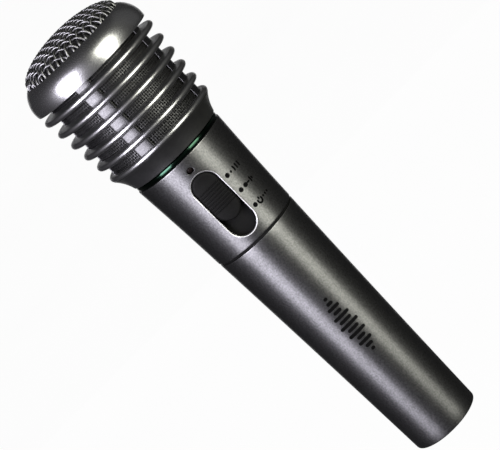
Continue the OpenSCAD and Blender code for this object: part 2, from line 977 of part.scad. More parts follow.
module antenna_wire() {
    color([0.1, 0.1, 0.1]) wire([
        [8.6, 10.3, 30],
        [8.6, 10.3, 104],
        [8.2, 7.4, 112],
        [8.2, 7.4, 117],
        [7.6, -7.3, 122]
    ], lead_r);
}

// ---- Sleeve ----

module joint_ring() {
    color([0.05, 0.05, 0.05]) tube(
        joint_ring_r, low_spigot_r + ring_fit_gap,
        sleeve_h + ring_face_gap, joint_h - 2 * ring_face_gap
    );
}

module battery_sleeve() {
    thread_low = low_spigot_z - CUT;
    bore = low_spigot_r + fit_gap;
    root = bore + thread_depth;
    outer = [for (z = steps(tail_round, sleeve_h)) [sleeve_r(z), z]];
    inner = [for (z = steps(tail_floor, thread_low)) [sleeve_r(z) - sleeve_wall, z]];
    color([0.42, 0.42, 0.44]) {
        rotate_extrude() polygon(concat(
            [[tail_hole_r, 0], [tail_r - tail_round, 0]],
            outer,
            [[root, sleeve_h], [root, thread_low]],
            reversed(inner),
            [[tail_hole_r, tail_floor]]
        ));
        ridges(root + EPS, bore, thread_low + 1.5 * thread_pitch / 2, low_threads);
    }
}

module tail_cap() {
    color([0.08, 0.08, 0.08]) difference() {
        union() {
            disc(tail_hole_r - EPS, tail_recess, tail_floor - tail_recess + EPS);
            disc(tail_flange_r, tail_floor, tail_flange_h);
        }
        disc(jack_hole_r, -CUT, tail_floor + tail_flange_h + 2 * CUT);
    }
}

dome_mesh();
dome_band();
mesh_retainer();
grille_cage();
side_mesh();
foam_liner();
neck_collar();
accent_ring();
upper_housing();
chassis();
capsule_holder();
shock_mount();
capsule_case();
capsule_frame();
capsule_yoke();
capsule_magnet();
pole_plate();
capsule_cover();
acoustic_cloth();
capsule_terminals();
diaphragm();
voice_coil();
capsule_leads();
circuit_board();
board_screws();
audio_chips();
capacitors();
resistors();
tuning_coil();
crystal();
indicator_led();
switch_plate();
switch_case();
switch_lever();
switch_knob();
battery_tray();
tray_screws();
battery_cell_right();
battery_cell_left();
battery_springs();
battery_contacts();
power_leads();
jack_board();
jack_body();
jack_barrel();
jack_contacts();
jack_leads();
antenna_wire();
joint_ring();
battery_sleeve();
tail_cap();
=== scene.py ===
import functools
import json
import math

import bmesh
import bpy
from mathutils import Matrix, Vector, noise


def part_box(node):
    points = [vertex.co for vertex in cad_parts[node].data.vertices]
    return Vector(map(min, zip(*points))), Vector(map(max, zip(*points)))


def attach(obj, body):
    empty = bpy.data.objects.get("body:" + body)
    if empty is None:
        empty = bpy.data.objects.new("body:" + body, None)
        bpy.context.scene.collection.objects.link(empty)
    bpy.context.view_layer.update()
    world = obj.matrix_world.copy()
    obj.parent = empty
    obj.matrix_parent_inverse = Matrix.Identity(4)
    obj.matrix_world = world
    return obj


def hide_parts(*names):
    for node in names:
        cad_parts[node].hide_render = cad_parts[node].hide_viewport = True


# Looks of the hand-held dynamic microphone. Shapes are worked out in millimetres in the CAD
# frame: the origin is the centre of the tail face, +Z runs up to the dome and the switch faces
# -Y. An azimuth is in degrees from -Y, positive towards +X.

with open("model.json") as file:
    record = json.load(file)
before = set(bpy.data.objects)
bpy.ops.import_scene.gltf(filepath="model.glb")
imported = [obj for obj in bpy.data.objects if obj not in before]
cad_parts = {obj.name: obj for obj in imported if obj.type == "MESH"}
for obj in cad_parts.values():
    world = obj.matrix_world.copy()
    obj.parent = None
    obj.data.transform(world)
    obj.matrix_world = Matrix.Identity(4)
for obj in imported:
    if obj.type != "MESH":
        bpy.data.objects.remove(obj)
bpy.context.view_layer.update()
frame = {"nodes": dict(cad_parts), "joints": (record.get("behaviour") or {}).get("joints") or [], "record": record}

MM = 0.001
SEGMENTS = 192


@functools.cache
def span(node):
    """Lowest and highest corners of a CAD node, in millimetres."""
    low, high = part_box(node)
    return low / MM, high / MM


def outer_r(node):
    """Largest radius of a round CAD node, in millimetres."""
    return span(node)[1].x


# ---- Driving sizes, in millimetres ----

TAIL_R = 15.72
SLEEVE_BOW = 0.15
SLEEVE_WALL = 1.7
SLEEVE_FLOOR = 2.4
SLEEVE_OPENING_R = 12.5
PLUG_R = 12.48
PLUG_HOLE_R = 3.3
PLUG_DISH_R = 5.2
PLUG_DISH_DEPTH = 0.5
FIT_GAP = 0.02
SOFT_EDGE = 0.3

HOUSING_LOW_R = 19.75
HOUSING_BOW = 0.155
HOUSING_WALL = 2.0
HOUSING_ROW_H = 0.5
JOINT_RING_IN = 17.86
ACCENT_RING_IN = 19.06
ACCENT_CROWN = 0.75

THREAD_CREST_R = 17.88
THREAD_ROOT_R = 18.28
THREAD_PITCH = 2.2
THREAD_RIDGES = 5
THREAD_ZONE = 12.3
THREAD_LEAD_IN = 1.2
THREAD_FOOT = 0.55
THREAD_TIP = 0.2

SLOT_W = 12.1
SLOT_LEN = 31.4
SLOT_BEVEL = 0.5
SLOT_MARGIN = 1.8
SLOT_COLUMNS = 13
LAMP_HOLE_R = 1.5
LAMP_BEVEL = 0.15
LAMP_MARGIN = 2.6
LAMP_COLUMNS = 5
KNOB_LEN = 22.6
KNOB_TRAVEL = 8.4
KNOB_EDGE = 0.9
RIB_PITCH = 1.34
RIB_COUNT = 8
RIB_DEPTH = 0.5
RIB_HALF = 0.25
RIB_RAMP = 0.1
RIB_DROP = 0.3

BELL_R = 18
BELL_CENTRE = (39.5, 154.6)
BELL_TOP_Z = 166.6
COLLAR_ROOT_R = 19.5
COLLAR_CREST_R = 19.08
COLLAR_THREAD_Z = 164.6
COLLAR_RIDGES = 3
COLLAR_FOOT = 0.5
SEAT_Z = 167.8
SEAT_IN = 22.9
SEAT_OUT = 25.15
FLANGE_IN = 25.3

RING_COUNT = 5
RING_PITCH = 6.66
RING_GROWTH = 0.55
RING_T = 2.5
RING_ROOT_T = 3.9
RING_TAPER = 12
CAGE_IN = 23.6
CAGE_FOOT_OUT = 25.1
CAGE_LIP_OUT = 25.0
CAGE_LIP_Z = 204.9
POST_IN = 23.65
POST_OUT = 24.25
POST_EDGE = 0.25
POST_W = 7.7
POST_COUNT = 4
POST_AZIMUTH = -15
POST_LOW_Z = 168.2

BAND_ARC_R = 11.25
BAND_ARC_CENTRE = (17.88, 206.85)
BAND_TOP_R = 24.85
BAND_IN = 24.55
BAND_STEP_R = 25.05
BAND_STEP_Z = 210.02

DOME_R = 24.4
DOME_RISE = 8.8
DOME_SKIRT = 4.5
DOME_PITCH = 2.6
DOME_WIRE_R = 0.42
DOME_AZIMUTH = -27
DOME_RIM_IN = 22.6
DOME_RIM_OUT = 24.95
DOME_RIM_LOW = 209.05
DOME_RIM_HIGH = 209.95
SIDE_IN = 23.0
SIDE_WIRES = 146
SIDE_HOOPS = 36
SIDE_WIRE_R = 0.18
SIDE_HOOP_R = 0.13
SIDE_SWING = 0.16
FOAM_WALL = 3.1
FOAM_LIP = 0.8
FOAM_DENTS = 0.16
CLOTH_SAG = 0.15
FLAKE_SIZE = 0.7

sleeve_low, sleeve_high = span("battery_sleeve")
housing_low, housing_high = span("upper_housing")
collar_low, collar_high = span("neck_collar")
cage_low, cage_high = span("grille_cage")
dome_low, dome_high = span("dome_mesh")
knob_low, knob_high = span("switch_knob")
lamp_low, lamp_high = span("indicator_led")

DOME_BASE_Z = dome_high.z - DOME_RISE
FLANGE_Z = collar_high.z - RING_T / 2


# ---- Outlines ----


def bowed_r(share, low, top, bow):
    """Radius of a handle shell, which grows from low to top and sags inward by its bow."""
    return low + (top - low) * share - 4 * bow * share * (1 - share)


def sleeve_r(z):
    return bowed_r(z / sleeve_high.z, TAIL_R, outer_r("battery_sleeve"), SLEEVE_BOW)


def housing_r(z):
    share = (z - housing_low.z) / (housing_high.z - housing_low.z)
    return bowed_r(share, HOUSING_LOW_R, outer_r("upper_housing"), HOUSING_BOW)


def steps(start, end, count):
    """Count + 1 evenly spaced values from start to end."""
    return [start + (end - start) * i / count for i in range(count + 1)]


def arc(centre, radius, start, end, count=8):
    """Points of an arc between two angles in degrees, measured from the outward direction."""
    turns = [math.radians(a) for a in steps(start, end, count)]
    return [(centre[0] + radius * math.cos(a), centre[1] + radius * math.sin(a)) for a in turns]


def soft_corner(before, corner, after, radius, count=4):
    """Points that round one corner of an outline."""
    point = Vector(corner)
    back = Vector(before) - point
    ahead = Vector(after) - point
    half = back.angle(ahead) / 2
    cut = min(radius / math.tan(half), back.length / 2.1, ahead.length / 2.1)
    start = point + back.normalized() * cut
    end = point + ahead.normalized() * cut
    points = []
    for share in steps(0, 1, count):
        a = start.lerp(point, share)
        b = point.lerp(end, share)
        points.append(tuple(a.lerp(b, share)))
    return points


def soft(corners, radius=SOFT_EDGE):
    """An outline of corners (r, z) or (r, z, own rounding), with its edges rounded."""
    flat = [c[:2] for c in corners]
    points = []
    for i, corner in enumerate(corners):
        own = corner[2] if len(corner) > 2 else radius
        if own:
            points += soft_corner(flat[i - 1], flat[i], flat[(i + 1) % len(flat)], own)
        else:
            points.append(flat[i])
    return points


# ---- Meshes ----


def at(azimuth, r, z):
    """A point from its azimuth in degrees, its radius and its height."""
    a = math.radians(azimuth)
    return Vector((r * math.sin(a), -r * math.cos(a), z))


class Build:
    """Collects vertices and faces in millimetres and turns them into one object."""

    def __init__(self):
        self.verts = []
        self.faces = []

    def add(self, verts, faces):
        first = len(self.verts)
        self.verts += verts
        self.faces += [[first + i for i in face] for face in faces]

    def lathe(self, outline, segments=SEGMENTS):
        """A closed outline of (r, z) turned once round the axis."""
        count = len(outline)
        verts = [at(360 * s / segments, r, z) for s in range(segments) for r, z in outline]
        faces = []
        for s in range(segments):
            t = (s + 1) % segments
            for i in range(count):
                j = (i + 1) % count
                faces.append((s * count + i, t * count + i, t * count + j, s * count + j))
        self.add(verts, faces)

    def loft(self, sections, closed=False):
        """Rings of points joined in order, with flat ends unless it closes on itself."""
        sides = len(sections[0])
        count = len(sections)
        faces = []
        for i in range(count if closed else count - 1):
            j = (i + 1) % count
            for k in range(sides):
                n = (k + 1) % sides
                faces.append((i * sides + k, i * sides + n, j * sides + n, j * sides + k))
        if not closed:
            faces.append(tuple(range(sides)))
            faces.append(tuple(range((count - 1) * sides, count * sides)))
        self.add([p for ring in sections for p in ring], faces)

    def wire(self, path, side, radius, sides, closed=False):
        """A round wire along a path whose bends lie square to side."""
        count = len(path)
        sections = []
        for i, point in enumerate(path):
            before = path[i - 1] if closed or i else point
            after = path[(i + 1) % count] if closed or i + 1 < count else point
            along = (after - before).normalized()
            square = (side - along * side.dot(along)).normalized()
            across = along.cross(square)
            ring = []
            for k in range(sides):
                a = 2 * math.pi * (k + 0.5) / sides
                ring.append(point + radius * (math.cos(a) * across + math.sin(a) * square))
            sections.append(ring)
        self.loft(sections, closed)

    def piece(self, name, body, slot, replaces=(), sharp=38, finish=None, trim=None):
        """The finished object: welded, facing outward, smooth up to the sharp angle.
        Its finish is its slot's own unless one is named. Trim is a second finish and a test
        that says whether the face at a point in millimetres has it."""
        mesh = bpy.data.meshes.new(name)
        mesh.from_pydata([Vector(v) * MM for v in self.verts], [], self.faces)
        bm = bmesh.new()
        bm.from_mesh(mesh)
        bmesh.ops.remove_doubles(bm, verts=bm.verts, dist=0.0005 * MM)
        bmesh.ops.recalc_face_normals(bm, faces=bm.faces)
        for face in bm.faces:
            face.smooth = True
            if trim and trim[1](face.calc_center_median() / MM):
                face.material_index = 1
        bm.to_mesh(mesh)
        bm.free()
        mesh.set_sharp_from_angle(angle=math.radians(sharp))
        obj = bpy.data.objects.new(name, mesh)
        bpy.context.scene.collection.objects.link(obj)
        obj.data.materials.append(MATERIALS[finish or slot])
        if trim:
            obj.data.materials.append(MATERIALS[trim[0]])
        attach(obj, body)
        if replaces:
            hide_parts(*replaces)
        return obj


# ---- Materials ----


def put(tree, kind, values=None, **settings):
    """Adds a node. Values maps an input to a constant or to another node's output."""
    node = tree.nodes.new(kind)
    for key, value in settings.items():
        setattr(node, key, value)
    for key, value in (values or {}).items():
        if isinstance(value, bpy.types.NodeSocket):
            tree.links.new(value, node.inputs[key])
        else:
            node.inputs[key].default_value = value
    return node


def start_material(name):
    """A new material cleared of its nodes, and the place on the part in millimetres."""
    material = bpy.data.materials.new(name)
    material.use_nodes = True
    tree = material.node_tree
    tree.nodes.clear()
    place = put(tree, "ShaderNodeTexCoord").outputs["Object"]
    scaled = put(tree, "ShaderNodeVectorMath", {0: place, "Scale": 1 / MM}, operation="SCALE")
    return material, tree, scaled.outputs[0]


def mottle(tree, place, size, detail=3.0):
    """Noise with features of the given size, from 0 to 1."""
    values = {"Vector": place, "Scale": 1 / size, "Detail": detail, "Roughness": 0.6}
    return put(tree, "ShaderNodeTexNoise", values).outputs[0]


def between(tree, share, low, high):
    """A number between low and high."""
    values = {"Value": share, "From Min": 0.3, "From Max": 0.7, "To Min": low, "To Max": high}
    return put(tree, "ShaderNodeMapRange", values).outputs[0]


def blend(tree, share, first, second):
    """A colour between two colours."""
    values = {0: share, 6: first, 7: second}
    return put(tree, "ShaderNodeMix", values, data_type="RGBA").outputs[2]


def tone(red, green, blue):
    return (red, green, blue, 1.0)


def grey(level):
    """A neutral tone, a touch cool."""
    return tone(level, level, level * 1.02)


def finish_shader(tree, colour, roughness, height, relief, **more):
    """The main shader, with bump from a height that is relief millimetres deep."""
    bump = put(tree, "ShaderNodeBump", {"Strength": 1.0, "Distance": relief * MM, "Height": height})
    values = {"Base Color": colour, "Roughness": roughness, "Normal": bump.outputs[0]}
    for key, value in more.items():
        values[key.replace("_", " ")] = value
    shader = put(tree, "ShaderNodeBsdfPrincipled", values)
    put(tree, "ShaderNodeOutputMaterial", {"Surface": shader.outputs[0]})


def coated(name, dark, light, rough, grain=0.25, relief=0.004, metal=0.0, wear=0.0,
           flake=0.0, **more):
    """A moulded, lacquered or plated finish: cloudy tone, fine grain and lighter edges, partly wear and partly a
    painted highlight along the edges.
    Flake is the share of the tone that follows metallic flakes and not the clouds."""
    material, tree, place = start_material(name)
    cloud = mottle(tree, place, 9.0)
    fine = mottle(tree, place, grain)
    speck = mottle(tree, place, FLAKE_SIZE, 1.0)
    share = put(tree, "ShaderNodeMix", {0: flake, 2: cloud, 3: speck}).outputs[0]
    colour = blend(tree, between(tree, share, 0.0, 1.0), dark, light)
    # Sharp edges lighten towards pale grey: partly wear, partly a painted highlight along each edge.
    if wear:
        edge = put(tree, "ShaderNodeNewGeometry").outputs["Pointiness"]
        values = {"Value": edge, "From Min": 0.52, "From Max": 0.56, "To Min": 0.0, "To Max": wear}
        share = put(tree, "ShaderNodeMapRange", values).outputs[0]
        colour = blend(tree, share, colour, tone(0.5, 0.5, 0.5))
    roughness = between(tree, fine, *rough)
    finish_shader(tree, colour, roughness, fine, relief, Metallic=metal, **more)
    return material


def foam_material():
    """Open-cell foam: round pits of several sizes."""
    material, tree, place = start_material("foam")
    cells = put(tree, "ShaderNodeTexVoronoi", {"Vector": place, "Scale": 1.6}, feature="F1")
    pits = cells.outputs["Distance"]
    # The colour darkens towards the bottom of each pit: painted shade in the pits.
    colour = blend(tree, pits, tone(0.002, 0.002, 0.002), tone(0.016, 0.016, 0.017))
    finish_shader(tree, colour, 0.95, pits, 0.3)
    return material


def weave_material(name, dark, light, pitch):
    """Cloth: two sets of threads that cross."""
    material, tree, place = start_material(name)
    sets = []
    for direction in ("X", "Y"):
        values = {"Vector": place, "Scale": 0.314 / pitch, "Distortion": 0.6}
        wave = put(tree, "ShaderNodeTexWave", values, bands_direction=direction)
        sets.append(wave.outputs["Fac"])
    crossing = put(tree, "ShaderNodeMath", {0: sets[0], 1: sets[1]}, operation="MULTIPLY")
    height = crossing.outputs[0]
    # The colour follows the thread height, darker in the low places between crossings: painted shade.
    finish_shader(tree, blend(tree, height, dark, light), 0.9, height, 0.1, Sheen_Weight=0.2)
    return material


def winding_material():
    """Enamelled copper wire wound in turns that lie side by side."""
    material, tree, place = start_material("copper_wire")
    values = {"Vector": place, "Scale": 1.6, "Distortion": 0.1}
    turns = put(tree, "ShaderNodeTexWave", values, bands_direction="Z").outputs["Fac"]
    # The colour darkens in the grooves between turns: painted shade, with the crests left bright copper.
    colour = blend(tree, turns, tone(0.16, 0.05, 0.02), tone(0.75, 0.33, 0.16))
    finish_shader(tree, colour, 0.3, turns, 0.08, Metallic=0.9)
    return material


def board_material():
    """Solder mask over tracks, a shade lighter where copper runs beneath."""
    material, tree, place = start_material("board_green")
    turned = put(
        tree, "ShaderNodeMapping", {"Vector": place, "Rotation": (math.radians(90), 0, 0)}
    ).outputs[0]
    values = {"Vector": turned, "Scale": 0.45, "Mortar Size": 0.09, "Brick Width": 1.3}
    tracks = put(tree, "ShaderNodeTexBrick", values).outputs["Fac"]
    colour = blend(tree, tracks, tone(0.004, 0.05, 0.022), tone(0.012, 0.13, 0.05))
    grain = mottle(tree, place, 0.4)
    finish_shader(tree, colour, between(tree, grain, 0.28, 0.4), tracks, 0.03)
    return material


def jacket_material():
    """A cell's plain printed jacket: grey with a pale band and a blue foot."""
    material, tree, place = start_material("cell_jacket")
    low, high = span("battery_cell_right")
    height = put(tree, "ShaderNodeSeparateXYZ", {0: place}).outputs["Z"]
    values = {"Value": height, "From Min": low.z, "From Max": high.z}
    share = put(tree, "ShaderNodeMapRange", values).outputs[0]
    ramp = put(tree, "ShaderNodeValToRGB", {0: share})
    ramp.color_ramp.interpolation = "CONSTANT"
    bands = [
        (0.0, tone(0.6, 0.6, 0.6)),
        (0.02, tone(0.02, 0.07, 0.16)),
        (0.3, tone(0.55, 0.56, 0.58)),
        (0.33, tone(0.13, 0.14, 0.15)),
        (0.975, tone(0.6, 0.6, 0.6)),
    ]
    elements = ramp.color_ramp.elements
    for element, (position, colour) in zip(elements, bands):
        element.position = position
        element.color = colour
    for position, colour in bands[2:]:
        elements.new(position).color = colour
    scuff = mottle(tree, place, 0.6)
    colour = ramp.outputs[0]
    finish_shader(tree, colour, between(tree, scuff, 0.28, 0.42), scuff, 0.01, Metallic=0.5)
    return material


COATINGS = {
    "handle_lacquer": {
        "dark": grey(0.095), "light": grey(0.165), "rough": (0.3, 0.37), "grain": 0.3,
        "relief": 0.008, "metal": 1.0, "wear": 0.3, "flake": 0.85,
    },
    "grille_lacquer": {
        "dark": grey(0.33), "light": grey(0.39), "rough": (0.31, 0.34), "grain": 0.3,
        "relief": 0.002, "metal": 1.0, "wear": 0.2, "flake": 0.5,
    },
    # A lighter copy of the grille lacquer for the band: painted highlight that brightens its reflections.
    "band_lit_lacquer": {
        "dark": grey(0.5), "light": grey(0.56), "rough": (0.25, 0.28), "grain": 0.3,
        "relief": 0.001, "metal": 1.0, "flake": 0.5,
    },
    # A darker copy of the grille lacquer for the posts: painted shade that tones down their reflections.
    "post_shaded_lacquer": {
        "dark": grey(0.07), "light": grey(0.12), "rough": (0.22, 0.3), "grain": 0.6,
        "relief": 0.004, "metal": 1.0, "flake": 0.6,
    },
    "collar_satin": {
        "dark": grey(0.03), "light": grey(0.045), "rough": (0.36, 0.48), "grain": 0.2,
        "relief": 0.006, "metal": 0.7, "wear": 0.1,
    },
    # Lighter metal for the slot's rounded rim: a painted highlight line round the opening.
    "slot_rim_highlight": {
        "dark": grey(0.55), "light": grey(0.7), "rough": (0.45, 0.55), "grain": 0.3,
        "relief": 0.006, "metal": 1.0,
    },
    "mesh_steel": {
        "dark": grey(0.15), "light": grey(0.23), "rough": (0.38, 0.46), "grain": 0.5,
        "relief": 0.004, "metal": 1.0,
    },
    # The mesh steel made darker for the side mesh: painted shadow of the rings over it.
    "mesh_ring_shadow": {
        "dark": grey(0.035), "light": grey(0.105), "rough": (0.46, 0.54), "grain": 0.8,
        "relief": 0.004, "metal": 1.0,
    },
    "accent_green": {
        "dark": tone(0.015, 0.033, 0.022), "light": tone(0.02, 0.045, 0.031),
        "rough": (0.12, 0.17), "grain": 0.2, "relief": 0.002, "metal": 1.0,
    },
    "black_gloss": {
        "dark": grey(0.012), "light": grey(0.018), "rough": (0.24, 0.36), "grain": 0.3,
        "relief": 0.004,
    },
    "switch_black": {
        "dark": grey(0.003), "light": grey(0.005), "rough": (0.5, 0.65), "grain": 0.3,
        "relief": 0.01, "Specular_IOR_Level": 0.07,
    },
    "black_plastic": {
        "dark": grey(0.018), "light": grey(0.028), "rough": (0.45, 0.6), "grain": 0.35,
        "relief": 0.012,
    },
    "rubber_black": {
        "dark": grey(0.016), "light": grey(0.024), "rough": (0.7, 0.85), "grain": 0.5,
        "relief": 0.02,
    },
    "lens_dark": {
        "dark": tone(0.005, 0.004, 0.004), "light": tone(0.008, 0.005, 0.005),
        "rough": (0.3, 0.4), "grain": 1.0, "relief": 0.002, "Specular_IOR_Level": 0.03,
    },
    "yellow_metal": {
        "dark": tone(0.72, 0.47, 0.18), "light": tone(0.85, 0.6, 0.25), "rough": (0.2, 0.32),
        "grain": 0.3, "relief": 0.004, "metal": 1.0,
    },
    "bright_metal": {
        "dark": grey(0.5), "light": grey(0.66), "rough": (0.2, 0.34), "grain": 0.3,
        "relief": 0.004, "metal": 1.0,
    },
    "magnet_metal": {
        "dark": grey(0.16), "light": grey(0.26), "rough": (0.36, 0.55), "grain": 0.4,
        "relief": 0.01, "metal": 1.0,
    },
    "film": {
        "dark": tone(0.5, 0.33, 0.12), "light": tone(0.6, 0.42, 0.18), "rough": (0.12, 0.22),
        "grain": 1.5, "relief": 0.01, "Transmission_Weight": 0.5,
    },
    "wire_red": {
        "dark": tone(0.3, 0.012, 0.01), "light": tone(0.42, 0.02, 0.015), "rough": (0.35, 0.5),
        "grain": 0.3, "relief": 0.01,
    },
    "wire_grey": {
        "dark": grey(0.16), "light": grey(0.24), "rough": (0.35, 0.5), "grain": 0.3,
        "relief": 0.01,
    },
    "print_black": {
        "dark": grey(0.0015), "light": grey(0.003), "rough": (0.6, 0.75), "grain": 0.2,
        "relief": 0.004, "Specular_IOR_Level": 0.02,
    },
}

MATERIALS = {name: coated(name, **look) for name, look in COATINGS.items()}
MATERIALS["foam"] = foam_material()
MATERIALS["cloth"] = weave_material("cloth", grey(0.004), grey(0.05), 0.5)
MATERIALS["copper_wire"] = winding_material()
MATERIALS["board_green"] = board_material()
MATERIALS["cell_jacket"] = jacket_material()

# CAD nodes whose finish isn't that of their slot.
OWN_FINISH = {"switch_plate": "switch_black", "joint_ring": "switch_black"}


def dress_cad_nodes():
    """Gives each CAD node the finish of the slot that the record names for it, or its own."""
    for part in frame["record"]["subparts"]:
        obj = frame["nodes"][part["node"]]
        obj.data.materials.clear()
        finish = OWN_FINISH.get(part["node"], part["material_slot"])
        obj.data.materials.append(MATERIALS[finish])


# ---- Handle ----


def thread_bore(z_top):
    """The inner wall of the sleeve's threaded mouth, from its rim down."""
    points = [(THREAD_ROOT_R, z_top)]
    for i in range(THREAD_RIDGES):
        z = z_top - THREAD_LEAD_IN - THREAD_PITCH * i
        points += [
            (THREAD_ROOT_R, z + THREAD_FOOT),
            (THREAD_CREST_R, z + THREAD_TIP),
            (THREAD_CREST_R, z - THREAD_TIP),
            (THREAD_ROOT_R, z - THREAD_FOOT),
        ]
    points.append((THREAD_ROOT_R, z_top - THREAD_ZONE))
    return points


def make_sleeve():
    """The battery sleeve: a tapered tube with a floor, an opening for the cap and a thread."""
    top = sleeve_high.z
    outer = [(sleeve_r(z), z, 0) for z in steps(0, top, 24)]
    outer[0] = (outer[0][0], 0, 2 * SOFT_EDGE)
    outer[-1] = (outer[-1][0], top, SOFT_EDGE)
    mouth = [(r, z, 0.2 if i == 0 else 0) for i, (r, z) in enumerate(thread_bore(top))]
    bore = [
        (sleeve_r(z) - SLEEVE_WALL, z, 0)
        for z in steps(top - THREAD_ZONE - 0.6, SLEEVE_FLOOR, 12)
    ]
    tail = [(SLEEVE_OPENING_R, SLEEVE_FLOOR, 0.15), (SLEEVE_OPENING_R, 0, 0.25)]
    build = Build()
    build.lathe(soft(outer + mouth + bore + tail))
    build.piece("sleeve", "sleeve", "handle_lacquer", ["battery_sleeve"])


def make_tail_cap():
    """The tail cap: a flanged plug, dished round the hole for the jack."""
    low, high = span("tail_cap")
    flange_r = outer_r("tail_cap")
    flange_z = SLEEVE_FLOOR + FIT_GAP
    corners = [
        (PLUG_HOLE_R, low.z + PLUG_DISH_DEPTH, 0.2),
        (PLUG_DISH_R, low.z + PLUG_DISH_DEPTH, 0.3),
        (PLUG_DISH_R + 0.8, low.z, 0.3),
        (PLUG_R, low.z, 0.35),
        (PLUG_R, flange_z, 0),
        (flange_r, flange_z, 0.1),
        (flange_r, high.z, 0.3),
        (PLUG_HOLE_R, high.z, 0.2),
    ]
    build = Build()
    build.lathe(soft(corners))
    build.piece("tail_plug", "sleeve", "black_plastic", ["tail_cap"])


def make_joint_ring():
    """The dark spacer in the joint line half way down the handle."""
    low, high = span("joint_ring")
    r = outer_r("joint_ring")
    corners = [(JOINT_RING_IN, low.z), (r, low.z), (r, high.z), (JOINT_RING_IN, high.z)]
    build = Build()
    build.lathe(soft(corners, 0.15))
    build.piece("joint_spacer", "spacer", "black_plastic", ["joint_ring"], finish="switch_black")


def make_accent_ring():
    """The crowned green ring under the head."""
    low, high = span("accent_ring")
    r = outer_r("accent_ring")
    half = (high.z - low.z) / 2
    bulge = [
        (r - ACCENT_CROWN * (1 - math.cos(t)), low.z + half * (1 + math.sin(t)))
        for t in steps(-math.pi / 2, math.pi / 2, 18)
    ]
    build = Build()
    build.lathe([(ACCENT_RING_IN, low.z)] + bulge + [(ACCENT_RING_IN, high.z)])
    build.piece("green_ring", "neck_ring", "accent_green", ["accent_ring"])


class Window:
    """A stadium-shaped opening through the housing, with its patch of the wall round it."""

    def __init__(self, centre_z, half_w, half_len, columns, rows, bevel):
        self.centre_z = centre_z
        self.half_w = half_w
        self.straight = half_len - half_w
        self.columns = columns
        self.rows = rows
        self.bevel = bevel

    def holds(self, column, row):
        """Whether a cell of the wall's grid lies in this window's patch."""
        low, high = self.rows
        return -self.columns <= column < self.columns and low <= row < high

    def rim(self):
        """The patch's outer grid points, in order."""
        low, high = self.rows
        c = self.columns
        points = [(i, low) for i in range(-c, c)]
        points += [(c, j) for j in range(low, high)]
        points += [(i, high) for i in range(c, -c, -1)]
        points += [(-c, j) for j in range(high, low, -1)]
        return points

    def near(self, point, grow):
        """Whether a point is over the opening or within grow of its edge."""
        rise = point.z - self.centre_z
        past = max(0.0, abs(rise) - self.straight)
        return point.y < 0 and math.hypot(point.x, past) < self.half_w + grow

    def outline(self, across, z, grow):
        """The opening's edge nearest to a point, moved out by grow."""
        rise = z - self.centre_z
        middle = max(-self.straight, min(self.straight, rise))
        away = Vector((across, rise - middle)).normalized() * (self.half_w + grow)
        return away.x, self.centre_z + middle + away.y


